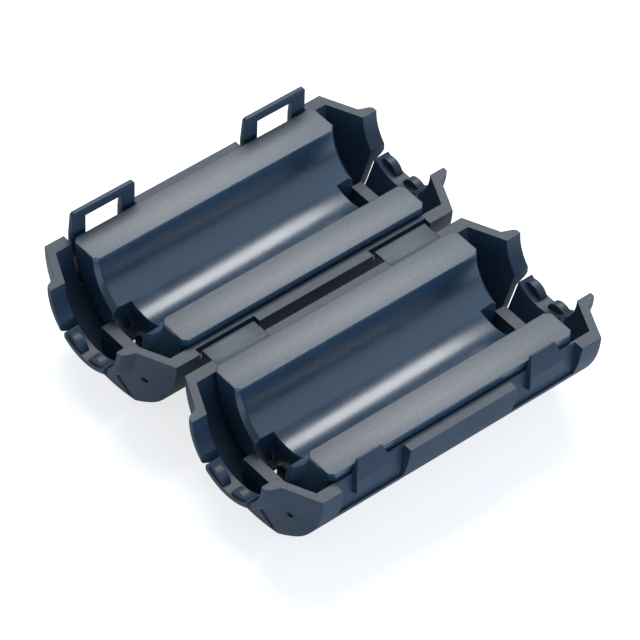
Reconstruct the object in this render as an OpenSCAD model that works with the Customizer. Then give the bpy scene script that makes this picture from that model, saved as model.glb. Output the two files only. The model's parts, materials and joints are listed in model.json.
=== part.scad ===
// Clip-on ferrite bead: two half shells of a plastic case joined by living hinge straps,
// each holding one half of a split ferrite sleeve. Shown opened flat, lying on both backs,
// with the sleeve halves pushed a little out of the shells by the spring tongues.
// X runs along the cable, the hinge line lies over Y = 0, Z = 0 is the surface it rests on.

/* [Ferrite] */
// Length of the ferrite sleeve
core_len = 28.4; // [24:0.2:32]
// Outer radius of the ferrite sleeve
core_r = 8.3; // [7.4:0.05:9.2]
// Bore radius of the ferrite sleeve
core_bore_r = 4.7; // [4.2:0.05:5.2]
// Height of the sleeve faces over the parting plane when the case is open
core_lift = 0.76; // [0.3:0.02:0.9]
// Chamfer on the ends of the ferrite sleeve
core_chamfer = 0.5; // [0.2:0.05:0.8]
// Depth of the notch in each end of the ferrite
notch_len = 2; // [1:0.1:2.4]
// Width of the notch in each end of the ferrite
notch_w = 4.1; // [3:0.1:4.4]

/* [Case] */
// Thickness of the wall round the ferrite
wall_t = 1.3; // [1.1:0.05:1.6]
// Gap between the two shells along the hinge when opened flat
hinge_gap = 1.2; // [0.8:0.1:2]
// Width of the flat on the back of each half
flat_w = 6.7; // [5:0.1:8]
// Room past each end of the ferrite, up to the end cone
end_room = 2.05; // [1.9:0.05:2.6]
// Gap between each rim and the parting plane
rim_drop = 0.03; // [0.02:0.01:0.1]

/* [End collars] */
// Axial length of the end cone
cone_len = 1.7; // [1.4:0.1:2.6]
// Length of each collar past its cone
collar_len = 1.3; // [1:0.1:2]
// Wall of the collar where it meets the cone
collar_wall = 1.2; // [0.9:0.05:1.5]
// How much thinner the wall is at the tip of the collar
collar_taper = 0.45; // [0.2:0.05:0.6]
// Width of the slits beside each end finger
slit_w = 0.6; // [0.3:0.05:0.9]
// Distance of each slit from the middle of the finger
slit_y = 3.2; // [2.6:0.05:3.3]
// Height of the two grip lobes inside the tip of each finger
lip_h = 0.8; // [0.5:0.05:1.3]

/* [Back window] */
// Width of each spring tongue
spring_w = 3.7; // [3:0.1:4.2]
// Reach of each spring tongue past the back plate
spring_len = 5.2; // [4:0.1:6]
// Thickness of the arm of each spring tongue
spring_t = 1; // [0.7:0.05:1.2]

/* [Latches] */
// Distance of each latch and strap from the nearer end of the ferrite
latch_inset = 4.1; // [3.8:0.1:5]
// Outer width of the latch loop
loop_w = 7.2; // [6.5:0.1:7.6]
// Width of the post on each side of the loop
loop_post = 1.5; // [1:0.05:1.7]
// Height of the loop above the parting plane
loop_h = 3.15; // [3:0.05:3.8]
// Height of the bar across the top of the loop
loop_bar = 0.95; // [0.8:0.05:1.2]
// Height of the catch nub above the parting plane
nub_h = 1.52; // [1.2:0.04:1.56]

/* [Hinge] */
// Length of each hinge strap along the hinge line
strap_len = 6; // [4.5:0.1:7]
// Thickness of each hinge strap
strap_t = 0.35; // [0.25:0.05:0.5]
// Lap of each hinge strap over the front rim
strap_lap = 0.7; // [0.5:0.05:0.9]
// Depth that each hinge strap dips into the rear rim
strap_dip = 0.6; // [0.5:0.05:0.8]
// Room at both ends of each hinge strap in the rear rim
strap_room = 0.4; // [0.1:0.05:0.5]

/* [Hidden] */
// Gap between a sleeve and the pad of the spring tongue under it
pad_gap = 0.02;
// Gap between a latch part and the pocket it drops into
latch_gap = 0.15;
// Radial play of the sleeve in its shell
core_play = 0.1;
cavity_r = core_r + core_play;
shell_r = cavity_r + wall_t;
half_h = shell_r + 0.05;
half_pitch = 2 * shell_r + hinge_gap;
body_x = core_len / 2 + end_room;
cone_x = body_x + cone_len;
end_x = cone_x + collar_len;
collar_bore_r = core_bore_r + 0.15;
collar_root_r = collar_bore_r + collar_wall;
collar_tip_r = collar_root_r - collar_taper;
cone_slope = (shell_r - collar_root_r) / cone_len;
corner_r = norm([flat_w / 2, half_h]);
corner_a = atan2(flat_w / 2, half_h) + acos(shell_r / corner_r);
window_x = core_len / 2 - 0.25;
window_w = spring_w + 1.6;
bridge_x = window_x - spring_len - 1.5;
latch_x = core_len / 2 - latch_inset;
latch_y = shell_r - 0.9;
latch_root = 4.4;
loop_open_w = loop_w - 2 * loop_post;
loop_low_z = -0.9;
loop_top_z = loop_h - loop_bar;
nub_w = loop_open_w - 0.2;
pocket_y = latch_y - latch_gap;
pocket_z = loop_h + 0.6;
strap_seat_y = hinge_gap / 2 + strap_lap;
$fn = 96;

// Turns a profile drawn as across and up into a bar along X, centred on the middle.
module along_x(length) {
    rotate([90, 0, 90])
        linear_extrude(length, center = true)
            children();
}

// Turns a profile drawn as radius and distance along the cable into a round about X.
module about_x() {
    rotate([0, 90, 0])
        rotate_extrude()
            children();
}

// Round section with the two tangent faces that carry the back flat.
module section() {
    circle(r = shell_r);
    polygon([
        [0, 0],
        [shell_r * sin(corner_a), -shell_r * cos(corner_a)],
        [flat_w / 2, -half_h],
        [-flat_w / 2, -half_h],
        [-shell_r * sin(corner_a), -shell_r * cos(corner_a)]
    ]);
}

// Barrel with coned ends that trims the section to the end cones.
module end_cones() {
    about_x()
        polygon([
            [0, -cone_x],
            [collar_root_r, -cone_x],
            [shell_r + 1, -body_x + 1 / cone_slope],
            [shell_r + 1, body_x - 1 / cone_slope],
            [collar_root_r, cone_x],
            [0, cone_x]
        ]);
}

// Collar tube at both ends, slightly tapered, with softened tips.
module collars() {
    about_x()
        polygon([
            [0, -end_x],
            [collar_tip_r - 0.25, -end_x],
            [collar_tip_r, -end_x + 0.25],
            [collar_root_r, -cone_x],
            [collar_root_r, cone_x],
            [collar_tip_r, end_x - 0.25],
            [collar_tip_r - 0.25, end_x],
            [0, end_x]
        ]);
}

// Hollow that holds the ferrite and runs out through both collars.
module hollow() {
    inner_x = body_x - 0.3;
    throat_x = inner_x + (cavity_r - collar_bore_r) / cone_slope;
    about_x()
        polygon([
            [0, -end_x - 1],
            [collar_bore_r, -end_x - 1],
            [collar_bore_r, -throat_x],
            [cavity_r, -inner_x],
            [cavity_r, inner_x],
            [collar_bore_r, throat_x],
            [collar_bore_r, end_x + 1],
            [0, end_x + 1]
        ]);
}

// Everything of a half below its rim.
module below_rim() {
    translate([-end_x - 1, -shell_r - 1, -half_h - 1])
        cube([2 * end_x + 2, 2 * shell_r + 2, half_h + 1 - rim_drop]);
}

// Outline of the opening round one spring tongue, with its two outer corners rounded.
module slot_outline() {
    corner = 0.9;
    translate([bridge_x, -window_w / 2])
        square([window_x - bridge_x - corner, window_w]);
    translate([bridge_x, -window_w / 2 + corner])
        square([window_x - bridge_x, window_w - 2 * corner]);
    for (side = [-1, 1])
        translate([window_x - corner, side * (window_w / 2 - corner)])
            circle(r = corner);
}

// The two openings through the back flat.
module back_openings() {
    for (turn = [0, 180])
        rotate([0, 0, turn])
            translate([0, 0, -half_h - 1])
                linear_extrude(3.5)
                    slot_outline();
}

// Spring tongue at the right end: an arm that rises to a pad under the sleeve.
module spring_tongue() {
    root_x = bridge_x;
    tip_x = root_x + spring_len;
    pad_z = core_lift - core_r - pad_gap;
    pad_t = half_h + pad_z - core_lift - 0.05;
    intersection() {
        rotate([90, 0, 0])
            linear_extrude(spring_w, center = true)
                polygon([
                    [root_x, -half_h],
                    [root_x + 0.7, -half_h],
                    [tip_x, pad_z - pad_t],
                    [tip_x, pad_z],
                    [tip_x - 1.3, pad_z],
                    [tip_x - 1.7, pad_z - pad_t + spring_t - 0.1],
                    [root_x + 0.7, -half_h + spring_t],
                    [root_x, -half_h + spring_t]
                ]);
        translate([0, 0, -half_h - 1])
            linear_extrude(4)
                polygon([
                    [root_x, -spring_w / 2],
                    [tip_x - 0.7, -spring_w / 2],
                    [tip_x, -spring_w / 2 + 0.7],
                    [tip_x, spring_w / 2 - 0.7],
                    [tip_x - 0.7, spring_w / 2],
                    [root_x, spring_w / 2]
                ]);
    }
}

// Slits that free the bottom finger of both end cones.
module end_slits() {
    slit_len = end_x - body_x + 1;
    for (end = [-1, 1])
        for (side = [-1, 1])
            translate([end * (body_x - 0.05 + slit_len / 2), side * slit_y, -half_h / 2 - 1.5])
                cube([slit_len, slit_w, half_h - 1.8], center = true);
}

// Two rounded lobes inside the tip of both bottom fingers that grip the cable.
module grip_lips() {
    lobe_r = 1.35;
    lobe_turn = 19.5;
    for (end = [-1, 1])
        intersection() {
            translate([end * (end_x - 0.6), 0, 0])
                rotate([0, 90, 0])
                    cylinder(h = 0.8, r = collar_bore_r + 0.3, center = true);
            for (side = [-1, 1])
                rotate([side * lobe_turn, 0, 0])
                    translate([end * (end_x - 0.6), 0, lip_h - lobe_r - collar_bore_r])
                        rotate([0, 90, 0])
                            cylinder(h = 2, r = lobe_r, center = true);
        }
}

// Posts that stand close to both ends of the ferrite and keep it from sliding.
module end_posts() {
    post_t = 1.2;
    post_low = -half_h + 0.75;
    post_top = -cavity_r + 3.3;
    for (end = [-1, 1])
        translate([end * (core_len / 2 + 0.05 + post_t / 2), 0, (post_low + post_top) / 2])
            cube([post_t, notch_w + 0.5, post_top - post_low], center = true);
}

// Shell common to both halves, parting plane at Z = 0.
module half_shell() {
    difference() {
        intersection() {
            union() {
                intersection() {
                    along_x(2 * cone_x)
                        section();
                    end_cones();
                }
                collars();
            }
            below_rim();
        }
        hollow();
        back_openings();
        end_slits();
    }
    grip_lips();
    end_posts();
}

// Wall profile of the catch, drawn outwards and up: a wedge with its hook at the bottom.
module nub_profile() {
    hook_z = -loop_top_z + 0.25;
    polygon([
        [cavity_r + 0.1, hook_z - 0.5],
        [cavity_r + 0.02, -1.2],
        [cavity_r + 0.02, nub_h],
        [cavity_r + 0.2, nub_h],
        [shell_r - 0.7, nub_h - 0.92],
        [shell_r - 0.32, -0.4],
        [shell_r - 0.32, hook_z],
        [cavity_r + 0.2, hook_z - 0.25],
        [cavity_r + 0.2, hook_z - 0.5]
    ]);
}

// Catch nub with its tapered lead-in.
module catch_nub() {
    intersection() {
        along_x(nub_w)
            nub_profile();
        rotate([90, 0, 0])
            linear_extrude(3 * shell_r, center = true)
                polygon([
                    [-nub_w / 2, -4],
                    [nub_w / 2, -4],
                    [nub_w / 2, -0.2],
                    [nub_w / 2 - 0.58, nub_h],
                    [-nub_w / 2 + 0.58, nub_h],
                    [-nub_w / 2, -0.2]
                ]);
    }
}

// Flat pocket in the near wall that the latch loop drops into, flared at its mouth.
module loop_pocket() {
    half_w = loop_w / 2 + latch_gap;
    translate([0, -pocket_y, 0])
        rotate([90, 0, 0])
            linear_extrude(3)
                polygon([
                    [-half_w, -pocket_z],
                    [half_w, -pocket_z],
                    [half_w, -0.8],
                    [half_w + 0.15, -rim_drop],
                    [half_w + 0.15, 1],
                    [-half_w - 0.15, 1],
                    [-half_w - 0.15, -rim_drop],
                    [-half_w, -0.8]
                ]);
}

// Small round moulding mark on the near side of the left end cone.
module finishing_mark() {
    rotate([-61, 0, 0])
        translate([-body_x - 1.05, 0, 1.05 * cone_slope - shell_r + 0.05])
            rotate([0, 90, 0])
                cylinder(h = 0.6, r = 0.35, center = true, $fn = 24);
}

module front_shell() {
    color("#2f3d4c")
        translate([0, -half_pitch / 2, half_h]) {
            difference() {
                half_shell();
                for (end = [-1, 1]) {
                    translate([end * latch_x, 0, 0])
                        loop_pocket();
                    // seat for the hinge strap in the far rim
                    translate([end * latch_x - strap_len / 2, half_pitch / 2 - strap_seat_y,
                               -rim_drop - strap_t])
                        cube([strap_len, strap_seat_y, 1]);
                }
                finishing_mark();
            }
            for (end = [-1, 1])
                translate([end * latch_x, 0, 0])
                    mirror([0, 1, 0])
                        catch_nub();
        }
}

module rear_shell() {
    slot_w = loop_w + 0.7;
    color("#2f3d4c")
        translate([0, half_pitch / 2, half_h])
            difference() {
                half_shell();
                for (end = [-1, 1]) {
                    // gap in the far wall for the latch tongue
                    translate([end * latch_x - slot_w / 2, cavity_r - 1.9, -latch_root])
                        cube([slot_w, 4, latch_root + 1]);
                    // step in the near rim where the hinge strap dips in
                    translate([end * latch_x - strap_len / 2 - strap_room, -half_pitch / 2,
                               -rim_drop - strap_dip])
                        cube([strap_len + 2 * strap_room, hinge_gap / 2 + 0.8, 1]);
                }
                finishing_mark();
            }
}

// Half of the split sleeve, mating face at Z = 0.
module half_core() {
    core_x = core_len / 2;
    difference() {
        about_x()
            polygon([
                [core_bore_r, -core_x + core_chamfer],
                [core_bore_r + core_chamfer, -core_x],
                [core_r - core_chamfer, -core_x],
                [core_r, -core_x + core_chamfer],
                [core_r, core_x - core_chamfer],
                [core_r - core_chamfer, core_x],
                [core_bore_r + core_chamfer, core_x],
                [core_bore_r, core_x - core_chamfer]
            ]);
        translate([-core_x - 1, -core_r - 1, 0])
            cube([core_len + 2, 2 * core_r + 2, core_r + 2]);
        for (end = [-1, 1])
            translate([end * (core_x - notch_len / 2 + 0.5), 0, -6.5])
                cube([notch_len + 1, notch_w, 6], center = true);
    }
}

module front_core() {
    color("#8c9296")
        translate([0, -half_pitch / 2, half_h + core_lift])
            half_core();
}

module rear_core() {
    color("#8c9296")
        translate([0, half_pitch / 2, half_h + core_lift])
            half_core();
}

module front_spring_left() {
    color("#2f3d4c")
        translate([0, -half_pitch / 2, half_h])
            mirror([1, 0, 0])
                spring_tongue();
}

module front_spring_right() {
    color("#2f3d4c")
        translate([0, -half_pitch / 2, half_h])
            spring_tongue();
}

module rear_spring_left() {
    color("#2f3d4c")
        translate([0, half_pitch / 2, half_h])
            mirror([1, 0, 0])
                spring_tongue();
}

module rear_spring_right() {
    color("#2f3d4c")
        translate([0, half_pitch / 2, half_h])
            spring_tongue();
}

// Thin strap from the front rim over the gap and down into the rear wall.
module strap() {
    top = -rim_drop;
    near_y = half_pitch / 2 - shell_r;
    translate([0, 0, half_h])
        along_x(strap_len)
            polygon([
                [-strap_seat_y, top - strap_t],
                [-strap_seat_y, top],
                [near_y + 0.15, top],
                [near_y + 0.35, top - 0.2],
                [near_y + 0.35, top - strap_dip],
                [near_y, top - strap_dip],
                [near_y - 0.25, top - strap_t]
            ]);
}

module hinge_strap_left() {
    color("#2f3d4c")
        translate([-latch_x, 0, 0])
            strap();
}

module hinge_strap_right() {
    color("#2f3d4c")
        translate([latch_x, 0, 0])
            strap();
}

// Distance of the inside of the wall from the middle, at a given depth.
function inside_y(depth) = sqrt(pow(cavity_r + 0.04, 2) - depth * depth);

// Latch tongue: flexing root, jogged finger bar and the open loop above the rim.
module latch_loop() {
    root_y = sqrt(shell_r * shell_r - latch_root * latch_root);
    frame_y = shell_r - 0.2;
    translate([0, half_pitch / 2, half_h])
        difference() {
            union() {
                along_x(loop_w)
                    polygon([
                        [inside_y(latch_root), -latch_root],
                        [root_y, -latch_root],
                        [pocket_y, 0.2 - latch_root],
                        [pocket_y, -2.5],
                        [frame_y, -2.35],
                        [frame_y, 0.5],
                        [latch_y, 0.5],
                        [latch_y, -1.5],
                        [cavity_r, -1.6],
                        [inside_y(1.95), -1.95],
                        [inside_y(3.3), -3.3]
                    ]);
                along_x(loop_w - 1)
                    polygon([
                        [frame_y - 0.1, -2.36],
                        [frame_y + 0.15, -2.2],
                        [frame_y + 0.3, -1.9],
                        [frame_y + 0.3, -1.4],
                        [frame_y + 0.15, -1.1],
                        [frame_y - 0.1, -0.95]
                    ]);
                intersection() {
                    along_x(loop_w)
                        polygon([
                            [latch_y, 0.4],
                            [frame_y, 0.4],
                            [frame_y - 0.28, loop_h],
                            [latch_y, loop_h]
                        ]);
                    rotate([90, 0, 0])
                        linear_extrude(3 * shell_r, center = true)
                            polygon([
                                [-loop_w / 2, -1],
                                [loop_w / 2, -1],
                                [loop_w / 2, loop_h - 0.2],
                                [loop_w / 2 - 0.2, loop_h],
                                [-loop_w / 2 + 0.2, loop_h],
                                [-loop_w / 2, loop_h - 0.2]
                            ]);
                }
            }
            // window that drops over the catch nub
            translate([-loop_open_w / 2, latch_y - 3, loop_low_z])
                cube([loop_open_w, 6, loop_top_z - loop_low_z]);
            // recess behind the finger bar that clears the catch nub
            translate([-loop_open_w / 2, cavity_r - 0.4, -1.65])
                cube([loop_open_w, frame_y - 0.25 - cavity_r + 0.4, loop_low_z + 1.66]);
        }
}

module latch_loop_left() {
    color("#2f3d4c")
        translate([-latch_x, 0, 0])
            latch_loop();
}

module latch_loop_right() {
    color("#2f3d4c")
        translate([latch_x, 0, 0])
            latch_loop();
}

front_shell();
rear_shell();
front_core();
rear_core();
front_spring_left();
front_spring_right();
rear_spring_left();
rear_spring_right();
hinge_strap_left();
hinge_strap_right();
latch_loop_left();
latch_loop_right();
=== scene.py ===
import bpy
import bmesh
import json
import math
from mathutils import Matrix, Vector

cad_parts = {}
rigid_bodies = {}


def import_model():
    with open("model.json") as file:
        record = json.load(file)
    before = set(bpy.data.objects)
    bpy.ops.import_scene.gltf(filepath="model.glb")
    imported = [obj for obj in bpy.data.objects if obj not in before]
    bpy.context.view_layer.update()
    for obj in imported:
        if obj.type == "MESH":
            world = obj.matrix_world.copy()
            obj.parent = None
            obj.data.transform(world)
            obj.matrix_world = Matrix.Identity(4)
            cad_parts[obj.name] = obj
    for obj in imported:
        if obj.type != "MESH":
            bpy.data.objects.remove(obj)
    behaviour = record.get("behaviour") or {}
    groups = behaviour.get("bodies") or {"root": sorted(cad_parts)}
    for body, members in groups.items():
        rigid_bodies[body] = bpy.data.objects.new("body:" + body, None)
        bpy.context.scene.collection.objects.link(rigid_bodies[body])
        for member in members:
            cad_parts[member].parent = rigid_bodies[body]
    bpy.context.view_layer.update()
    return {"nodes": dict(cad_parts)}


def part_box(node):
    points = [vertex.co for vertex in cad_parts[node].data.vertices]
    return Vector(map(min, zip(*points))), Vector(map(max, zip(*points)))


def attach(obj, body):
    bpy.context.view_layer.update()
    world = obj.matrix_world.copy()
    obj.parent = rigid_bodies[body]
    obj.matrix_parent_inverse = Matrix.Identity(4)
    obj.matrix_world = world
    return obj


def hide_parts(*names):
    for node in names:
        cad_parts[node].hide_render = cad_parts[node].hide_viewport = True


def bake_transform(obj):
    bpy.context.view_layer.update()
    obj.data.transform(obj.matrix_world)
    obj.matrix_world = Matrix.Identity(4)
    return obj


for old in list(bpy.data.objects):
    bpy.data.objects.remove(old)  # the start-up cube, lamp and camera
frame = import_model()
nodes = frame["nodes"]
mm = 0.001
smoothAngle = 38  # degrees: shading runs smoothly across edges softer than this


# ---- helpers for materials
def linearColour(code, alpha=1.0):
    # sRGB hex to linear, the only place where a colour is turned
    parts = [int(code[i:i + 2], 16) / 255 for i in (1, 3, 5)]
    return tuple(c / 12.92 if c <= 0.04045 else ((c + 0.055) / 1.055) ** 2.4 for c in parts) + (alpha,)


def addNode(tree, kind, values=None, links=None, **settings):
    # one node, with its settings, its fixed socket values and what feeds it
    node = tree.nodes.new(kind)
    for key, value in settings.items():
        setattr(node, key, value)
    for key, value in (values or {}).items():
        node.inputs[key].default_value = value
    for key, source in (links or {}).items():
        tree.links.new(source, node.inputs[key])
    return node


def newMaterial(name):
    material = bpy.data.materials.new(name)
    material.use_nodes = True
    tree = material.node_tree
    tree.nodes.clear()
    return material, tree


def endMaterial(tree, surface):
    out = addNode(tree, "ShaderNodeOutputMaterial")
    tree.links.new(surface, out.inputs["Surface"])


def addNoise(tree, source, size, detail, roughness=0.5):
    # noise whose features are about size mm across
    values = {"Scale": 1 / (size * mm), "Detail": detail, "Roughness": roughness}
    return addNode(tree, "ShaderNodeTexNoise", values, {"Vector": source}).outputs["Fac"]


def drawOut(tree, source, share):
    # stretches a pattern along X, the way the cable runs
    values = {"Scale": (share, 1.0, 1.0)}
    return addNode(tree, "ShaderNodeMapping", values, {"Vector": source}).outputs["Vector"]


def fade(tree, source, span, result=(0.0, 1.0)):
    # maps a span of the source to the result, held at both ends
    values = {"From Min": span[0], "From Max": span[1], "To Min": result[0], "To Max": result[1]}
    return addNode(tree, "ShaderNodeMapRange", values, {"Value": source}).outputs["Result"]


def combine(tree, operation, first, second):
    return addNode(tree, "ShaderNodeMath", links={0: first, 1: second}, operation=operation).outputs[0]


def tintOver(tree, under, code, amount):
    # lays one flat colour over another by the amount
    return addNode(tree, "ShaderNodeMix", {7: linearColour(code)}, {0: amount, 6: under},
                   data_type="RGBA").outputs[2]


def addRamp(tree, source, stops):
    node = addNode(tree, "ShaderNodeValToRGB", links={"Fac": source})
    ramp = node.color_ramp
    while len(ramp.elements) < len(stops):
        ramp.elements.new(0.5)
    for element, (position, code) in zip(ramp.elements, stops):
        element.position = position
        element.color = linearColour(code)
    return node.outputs["Color"]


def addBump(tree, height, strength, depth, normal=None):
    # depth is in mm
    values = {"Strength": strength, "Distance": depth * mm}
    links = {"Height": height} if normal is None else {"Height": height, "Normal": normal}
    return addNode(tree, "ShaderNodeBump", values, links).outputs["Normal"]


def addGloss(tree, source, look):
    # roughness that varies a little with the source, glossier where it is low
    most = look["roughness"] + look["duller"]
    return fade(tree, source, (0.3, 0.7), (look["roughness"] - look["glossier"], most))


def addShader(tree, ior, colour, roughness, normal):
    # roughness is a number or what feeds it
    values = {"IOR": ior, "Metallic": 0.0}
    links = {"Base Color": colour, "Normal": normal}
    (values if isinstance(roughness, float) else links)["Roughness"] = roughness
    return addNode(tree, "ShaderNodeBsdfPrincipled", values, links).outputs["BSDF"]


# ---- helpers for meshes
def selectOnly(piece):
    bpy.ops.object.select_all(action="DESELECT")
    piece.select_set(True)
    bpy.context.view_layer.objects.active = piece


def pickFaces(piece, test):
    # selects the faces whose centre and normal pass the test, in edit mode
    mesh = bmesh.from_edit_mesh(piece.data)
    for face in mesh.faces:
        face.select_set(False)
    mesh.select_flush(False)
    for face in mesh.faces:
        if test(face.calc_center_median(), face.normal):
            face.select_set(True)
    bmesh.update_edit_mesh(piece.data)


def bisectAt(axis, places):
    # cuts the whole mesh in edit mode by planes across one axis
    normal = Vector([1.0 if i == axis else 0.0 for i in range(3)])
    for place in places:
        bpy.ops.mesh.select_all(action="SELECT")
        bpy.ops.mesh.bisect(plane_co=normal * place, plane_no=normal)


def cutToBend(axis, low, high, cuts):
    # even cuts across the active piece between low and high, so that it can bend there
    bpy.ops.object.mode_set(mode="EDIT")
    step = (high - low) / (cuts + 1)
    bisectAt(axis, [low + step * (i + 1) for i in range(cuts)])
    bpy.ops.object.mode_set(mode="OBJECT")


def softEdges(piece, width, segments, angle=30):
    # rounds the moulded or tumbled edges sharper than angle, then smooth shading between them
    selectOnly(piece)
    bevel = piece.modifiers.new("edge_radius", "BEVEL")
    bevel.width = width
    bevel.segments = segments
    bevel.limit_method = "ANGLE"
    bevel.angle_limit = math.radians(angle)
    bevel.harden_normals = False
    bpy.ops.object.modifier_apply(modifier=bevel.name)
    bpy.ops.object.shade_smooth_by_angle(angle=math.radians(smoothAngle))


def copyOfNode(name, newName):
    # a merged copy of a solid, its flat faces joined up again, ready to be dressed
    limits = {"merge": 0.002 * mm, "flatAngle": 0.5}
    piece = bpy.data.objects.new(newName, nodes[name].data.copy())
    bpy.context.scene.collection.objects.link(piece)
    piece.data.materials.clear()
    selectOnly(piece)
    bpy.ops.object.mode_set(mode="EDIT")
    bpy.ops.mesh.select_all(action="SELECT")
    bpy.ops.mesh.remove_doubles(threshold=limits["merge"])
    bpy.ops.mesh.normals_make_consistent(inside=False)
    bpy.ops.mesh.dissolve_limited(angle_limit=math.radians(limits["flatAngle"]))
    bpy.ops.object.mode_set(mode="OBJECT")
    bpy.ops.mesh.customdata_custom_splitnormals_clear()
    return piece


print("frame loaded:", len(nodes), "nodes")


# ---- nylon 6/6, black-blue, injection moulded in a spark-eroded mould: a fine even matt
# grain that greys where light skims it, and slightly uneven tone where the melt flowed;
# the up-facing parting faces and post tops are a little glossier and carry a painted sheen, a paler grey in
# their colour
def makeNylon():
    look = {"ior": 1.53, "roughness": 0.47, "duller": 0.08, "glossier": 0.05, "edge": 0.09,
            "base": "#2C4155", "pale": "#384E64", "flow": 5.0, "flowAlong": 0.35,
            "dust": "#50657A", "grain": 0.14, "dustSpan": (0.56, 0.78), "dustMost": 0.45,
            "pits": 0.45, "pitSpan": (0.0, 0.5), "pitShare": 0.4, "bump": 0.4, "depth": 0.018}
    # the painted sheen goes on faces that point up and lie between these heights in mm, each a span over
    # which it fades
    paintedSheen = {"colour": "#414C58", "gloss": -0.03, "from": (4.5, 4.6), "to": (9.76, 9.78),
            "upward": (0.9, 0.97)}
    material, tree = newMaterial("nylon66_moulded_matte")
    place = addNode(tree, "ShaderNodeTexCoord")
    spot = place.outputs["Object"]
    flow = addNoise(tree, drawOut(tree, spot, look["flowAlong"]), look["flow"], 4.0, 0.55)
    colour = addRamp(tree, flow, [(0.3, look["base"]), (0.72, look["pale"])])
    grain = addNoise(tree, spot, look["grain"], 3.0, 0.62)
    dust = fade(tree, grain, look["dustSpan"], (0.0, look["dustMost"]))
    colour = tintOver(tree, colour, look["dust"], dust)

    height = addNode(tree, "ShaderNodeSeparateXYZ", links={0: spot}).outputs["Z"]
    up = addNode(tree, "ShaderNodeSeparateXYZ", links={0: place.outputs["Normal"]}).outputs["Z"]
    above = fade(tree, height, (paintedSheen["from"][0] * mm, paintedSheen["from"][1] * mm))
    below = fade(tree, height, (paintedSheen["to"][1] * mm, paintedSheen["to"][0] * mm))
    sheenZone = combine(tree, "MULTIPLY", above, fade(tree, up, paintedSheen["upward"]))
    sheenZone = combine(tree, "MULTIPLY", sheenZone, below)
    # painted sheen: the up-facing flats are painted paler grey, standing in for light glancing off them
    colour = tintOver(tree, colour, paintedSheen["colour"], sheenZone)

    gloss = addNode(tree, "ShaderNodeMath", {1: paintedSheen["gloss"]}, {0: sheenZone, 2: addGloss(tree, grain, look)},
                    operation="MULTIPLY_ADD").outputs[0]
    pits = addNode(tree, "ShaderNodeTexVoronoi", {"Scale": 1 / (look["pits"] * mm)}, {"Vector": spot})
    pits = fade(tree, pits.outputs["Distance"], look["pitSpan"], (0.0, look["pitShare"]))
    rounded = addNode(tree, "ShaderNodeBevel", {"Radius": look["edge"] * mm}, samples=4)
    relief = combine(tree, "ADD", grain, pits)
    bump = addBump(tree, relief, look["bump"], look["depth"], rounded.outputs["Normal"])
    endMaterial(tree, addShader(tree, look["ior"], colour, gloss, bump))
    return material


# ---- nickel-zinc ferrite, pressed and sintered: the skin is dark blue-grey with a soft
# gloss that pulls highlights into streaks, broken by fine pores
def makeFerriteSkin():
    look = {"ior": 2.05, "roughness": 0.27, "duller": 0.03, "glossier": 0.02,
            "base": "#2C4762", "pale": "#355369", "cloud": 3.5,
            "pore": "#1C2C3A", "grain": 0.1, "poreSpan": (0.3, 0.2), "bump": 0.15, "depth": 0.01}
    material, tree = newMaterial("ferrite_sintered_skin")
    place = addNode(tree, "ShaderNodeTexCoord")
    cloud = addNoise(tree, place.outputs["Object"], look["cloud"], 5.0, 0.6)
    grain = addNoise(tree, place.outputs["Object"], look["grain"], 2.0, 0.7)
    colour = addRamp(tree, cloud, [(0.3, look["base"]), (0.7, look["pale"])])
    colour = tintOver(tree, colour, look["pore"], fade(tree, grain, look["poreSpan"]))
    bump = addBump(tree, grain, look["bump"], look["depth"])
    endMaterial(tree, addShader(tree, look["ior"], colour, addGloss(tree, cloud, look), bump))
    return material


# ---- the same ferrite where the mating faces are ground flat: mid grey, satin, with
# fine crystal speckle and faint lines from the wheel along the sleeve
def makeFerriteGround():
    look = {"ior": 2.0, "roughness": 0.52, "base": "#5D6369", "pale": "#737A80", "fleck": "#8D9398",
            "grain": 0.11, "wheel": 0.2, "wheelAlong": 0.04, "wheelShare": 0.1, "bump": 0.25, "depth": 0.01}
    material, tree = newMaterial("ferrite_ground_face")
    place = addNode(tree, "ShaderNodeTexCoord")
    grain = addNoise(tree, place.outputs["Object"], look["grain"], 3.0, 0.65)
    lines = drawOut(tree, place.outputs["Object"], look["wheelAlong"])
    wheel = addNoise(tree, lines, look["wheel"], 2.0)
    both = addNode(tree, "ShaderNodeMix", {0: look["wheelShare"]}, {2: grain, 3: wheel}).outputs[0]
    colour = addRamp(tree, both, [(0.36, look["base"]), (0.6, look["pale"]), (0.72, look["fleck"])])
    bump = addBump(tree, both, look["bump"], look["depth"])
    endMaterial(tree, addShader(tree, look["ior"], colour, look["roughness"], bump))
    return material


# ---- nylon drawn thin in the living hinge: it whitens a little and creases across the fold
def makeHingeNylon():
    look = {"ior": 1.53, "roughness": 0.42, "base": "#33434F", "pale": "#56636E",
            "crease": 0.28, "creaseAlong": 0.08, "bump": 0.5, "depth": 0.02}
    material, tree = newMaterial("nylon66_living_hinge")
    place = addNode(tree, "ShaderNodeTexCoord")
    lines = drawOut(tree, place.outputs["Object"], look["creaseAlong"])
    crease = addNoise(tree, lines, look["crease"], 3.0, 0.6)
    colour = addRamp(tree, crease, [(0.35, look["base"]), (0.68, look["pale"])])
    bump = addBump(tree, crease, look["bump"], look["depth"])
    endMaterial(tree, addShader(tree, look["ior"], colour, look["roughness"], bump))
    return material


nylon = makeNylon()
ferriteSkin = makeFerriteSkin()
ferriteGround = makeFerriteGround()
hingeNylon = makeHingeNylon()
for name in ("front_shell", "rear_shell"):
    nodes[name].data.materials.clear()
    nodes[name].data.materials.append(nylon)
print("materials made")


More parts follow.
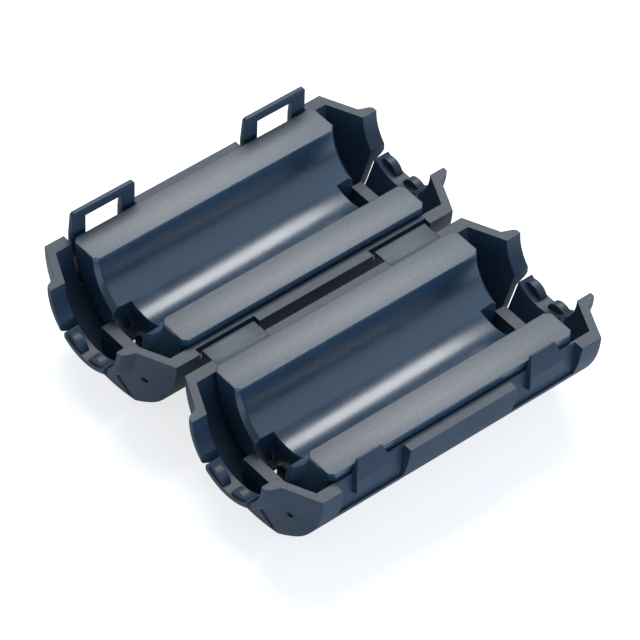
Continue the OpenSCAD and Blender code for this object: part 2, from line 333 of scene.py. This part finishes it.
# ---- ferrite sleeve halves: tumbled edges, ground mating faces
def dressCore(half):
    sizes = {"edge": 0.08 * mm, "segments": 2, "sharp": 32, "faceUp": 0.98, "faceDepth": 0.02 * mm}
    piece = copyOfNode(half + "_core", half + "_sleeve_half")
    softEdges(piece, sizes["edge"], sizes["segments"], sizes["sharp"])
    piece.data.materials.append(ferriteSkin)
    piece.data.materials.append(ferriteGround)
    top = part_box(half + "_core")[1][2]
    for face in piece.data.polygons:
        ground = face.normal.z > sizes["faceUp"] and face.center.z > top - sizes["faceDepth"]
        face.material_index = 1 if ground else 0
    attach(piece, half + "_ferrite")
    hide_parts(half + "_core")


for half in ("front", "rear"):
    dressCore(half)
print("sleeve halves dressed")


# ---- spring tongues under the sleeves: they bend from the back plate to their pads
def dressSpring(half, side):
    sizes = {"edge": 0.12 * mm, "segments": 2, "cuts": 9, "pad": 0.25}
    name = half + "_spring_" + side
    low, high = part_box(name)
    piece = copyOfNode(name, half + "_tongue_" + side)
    softEdges(piece, sizes["edge"], sizes["segments"])
    cutToBend(0, low[0], high[0], sizes["cuts"])
    piece.data.materials.append(nylon)
    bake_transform(piece)
    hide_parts(name)


for half in ("front", "rear"):
    for side in ("left", "right"):
        dressSpring(half, side)
print("spring tongues dressed")


# ---- latch loops: moulded edges, and they flex along their lower tongue
def dressLoop(side):
    sizes = {"edge": 0.1 * mm, "segments": 2, "cuts": 7, "tongue": 2.0 * mm}
    name = "latch_loop_" + side
    low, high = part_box(name)
    piece = copyOfNode(name, "latch_" + side + "_loop")
    softEdges(piece, sizes["edge"], sizes["segments"])
    flexTop = low[2] + sizes["tongue"]
    cutToBend(2, low[2], flexTop, sizes["cuts"])
    piece.data.materials.append(nylon)
    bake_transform(piece)
    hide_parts(name)


for side in ("left", "right"):
    dressLoop(side)
print("latch loops dressed")


# ---- living hinge straps: thin in the middle, thick where they run into both rims
def makeStrap(side):
    sizes = {"thickness": 0.35 * mm, "lip": 0.35 * mm, "edge": 0.05 * mm, "segments": 2, "sharp": 40,
             "cuts": 14, "fold": 0.6 * mm, "waist": 0.72, "waistReach": 0.45 * mm,
             "faceDown": -0.9, "under": (0.5, 1.2)}
    name = "hinge_strap_" + side
    low, high = [Vector(c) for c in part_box(name)]
    middle, span = (low + high) / 2, high - low
    thick, fold = sizes["thickness"], sizes["fold"]
    bpy.ops.object.select_all(action="DESELECT")
    bpy.ops.mesh.primitive_cube_add(size=1, location=(middle.x, middle.y, high.z - thick / 2))
    piece = bpy.context.object
    piece.name = "hinge_" + side + "_web"
    piece.scale = (span.x, span.y, thick)
    bpy.ops.object.transform_apply(location=True, rotation=True, scale=True)
    bpy.ops.object.mode_set(mode="EDIT")
    # the rear end turns down into its step in the rear rim
    lipStart = high.y - sizes["lip"]
    bisectAt(1, [lipStart])
    pickFaces(piece, lambda centre, normal: normal.z < sizes["faceDown"] and centre.y > lipStart)
    bpy.ops.mesh.extrude_region_move(TRANSFORM_OT_translate={"value": (0, 0, -(span.z - thick))})
    # cuts across the fold, so that it can bend
    bisectAt(1, [-fold + 2 * fold * i / (sizes["cuts"] - 1) for i in range(sizes["cuts"])])
    # the web's underside, but not the lip's, is raised to a thinner waist at the fold
    mesh = bmesh.from_edit_mesh(piece.data)
    for vert in mesh.verts:
        depth = (high.z - vert.co.z) / thick
        if sizes["under"][0] < depth < sizes["under"][1]:
            near = max(0.0, 1 - (vert.co.y / sizes["waistReach"]) ** 2)
            vert.co.z = high.z - thick * (1 - (1 - sizes["waist"]) * near)
    bmesh.update_edit_mesh(piece.data)
    bpy.ops.mesh.select_all(action="SELECT")
    bpy.ops.mesh.normals_make_consistent(inside=False)
    bpy.ops.object.mode_set(mode="OBJECT")
    softEdges(piece, sizes["edge"], sizes["segments"], sizes["sharp"])
    piece.data.materials.append(hingeNylon)
    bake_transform(piece)
    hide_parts(name)


for side in ("left", "right"):
    makeStrap(side)
print("hinge straps made")


# ---- floor, air, lamps, camera
def makeFloor():
    # a white card that glows at full lift to the camera, and less in what mirrors it
    setting = {"colour": "#E4E4E4", "glow": "#FFFFFF", "size": 3.0, "gap": 0.05 * mm,
               "lift": 0.75, "mirror": 0.25}
    bpy.ops.object.select_all(action="DESELECT")
    bpy.ops.mesh.primitive_plane_add(size=setting["size"], location=(0, 0, -setting["gap"]))
    floor = bpy.context.object
    floor.name = "studio_floor"
    bpy.ops.object.transform_apply(location=True, rotation=True, scale=True)
    material, tree = newMaterial("floor_matte_card")
    diffuse = addNode(tree, "ShaderNodeBsdfDiffuse", {"Color": linearColour(setting["colour"])})
    path = addNode(tree, "ShaderNodeLightPath")
    rays = {0: path.outputs["Is Glossy Ray"], 2: path.outputs["Is Camera Ray"]}
    seen = addNode(tree, "ShaderNodeMath", {1: setting["mirror"]}, rays, operation="MULTIPLY_ADD")
    lift = addNode(tree, "ShaderNodeMath", {1: setting["lift"]}, {0: seen.outputs[0]}, operation="MULTIPLY")
    glow = addNode(tree, "ShaderNodeEmission", {"Color": linearColour(setting["glow"])},
                   {"Strength": lift.outputs[0]})
    both = addNode(tree, "ShaderNodeAddShader", links={0: diffuse.outputs[0], 1: glow.outputs[0]})
    endMaterial(tree, both.outputs[0])
    floor.data.materials.append(material)


def makeAir():
    # pale blue light from all round, and plain white behind the object
    setting = {"colour": "#C6D7EA", "strength": 0.3, "backdrop": "#FFFFFF"}
    world = bpy.data.worlds.new("studio_air")
    bpy.context.scene.world = world
    world.use_nodes = True
    tree = world.node_tree
    tree.nodes.clear()
    out = addNode(tree, "ShaderNodeOutputWorld")
    path = addNode(tree, "ShaderNodeLightPath")
    air = addNode(tree, "ShaderNodeBackground",
                  {"Color": linearColour(setting["colour"]), "Strength": setting["strength"]})
    white = addNode(tree, "ShaderNodeBackground",
                    {"Color": linearColour(setting["backdrop"]), "Strength": 1.0})
    mix = addNode(tree, "ShaderNodeMixShader",
                  links={0: path.outputs["Is Camera Ray"], 1: air.outputs[0], 2: white.outputs[0]})
    tree.links.new(mix.outputs[0], out.inputs["Surface"])


def addLamp(name, direction, distance, size, power, colour="#FFFFFF", mirrored=True):
    data = bpy.data.lights.new(name, "AREA")
    data.shape = "RECTANGLE"
    data.size, data.size_y = size
    data.energy = power
    data.color = linearColour(colour)[:3]
    lamp = bpy.data.objects.new(name, data)
    bpy.context.scene.collection.objects.link(lamp)
    lamp.visible_glossy = mirrored
    away = Vector(direction).normalized()
    lamp.location = away * distance
    # the long side of the lamp runs along the bore
    side = (Vector((1, 0, 0)) - away * away.x).normalized()
    lamp.rotation_euler = Matrix((side, away.cross(side), away)).transposed().to_euler()


def makeCamera():
    # angles in degrees, lens in mm, lengths in metres
    view = {"azimuth": -41.16, "elevation": 46.07, "roll": 2.3, "distance": 0.4621, "lens": 285.0,
            "centre": (0, 0, 0.00603), "clip": (0.01, 10)}
    a, e = math.radians(view["azimuth"]), math.radians(view["elevation"])
    back = Vector((math.sin(a) * math.cos(e), -math.cos(a) * math.cos(e), math.sin(e)))
    data = bpy.data.cameras.new("viewer")
    data.lens = view["lens"]
    data.clip_start, data.clip_end = view["clip"]
    camera = bpy.data.objects.new("viewer", data)
    bpy.context.scene.collection.objects.link(camera)
    camera.location = Vector(view["centre"]) + back * view["distance"]
    roll = Matrix.Rotation(math.radians(view["roll"]), 3, "Z")
    camera.rotation_euler = ((-back).to_track_quat("-Z", "Y").to_matrix() @ roll).to_euler()
    bpy.context.scene.camera = camera


makeCamera()
makeFloor()
makeAir()
addLamp("key_back_right", (0.37, 0.42, 0.81), 0.7, (0.54, 0.31), 2.75)
addLamp("fill_front", (0.42, -0.6, 0.68), 0.8, (0.9, 0.8), 1.15, "#C2D9F5")
addLamp("low_front", (-0.05, -0.99, 0.12), 0.8, (0.7, 0.14), 2.4, "#CFE0F5", mirrored=False)
bpy.context.scene.view_settings.view_transform = "Standard"
print("stage ready")
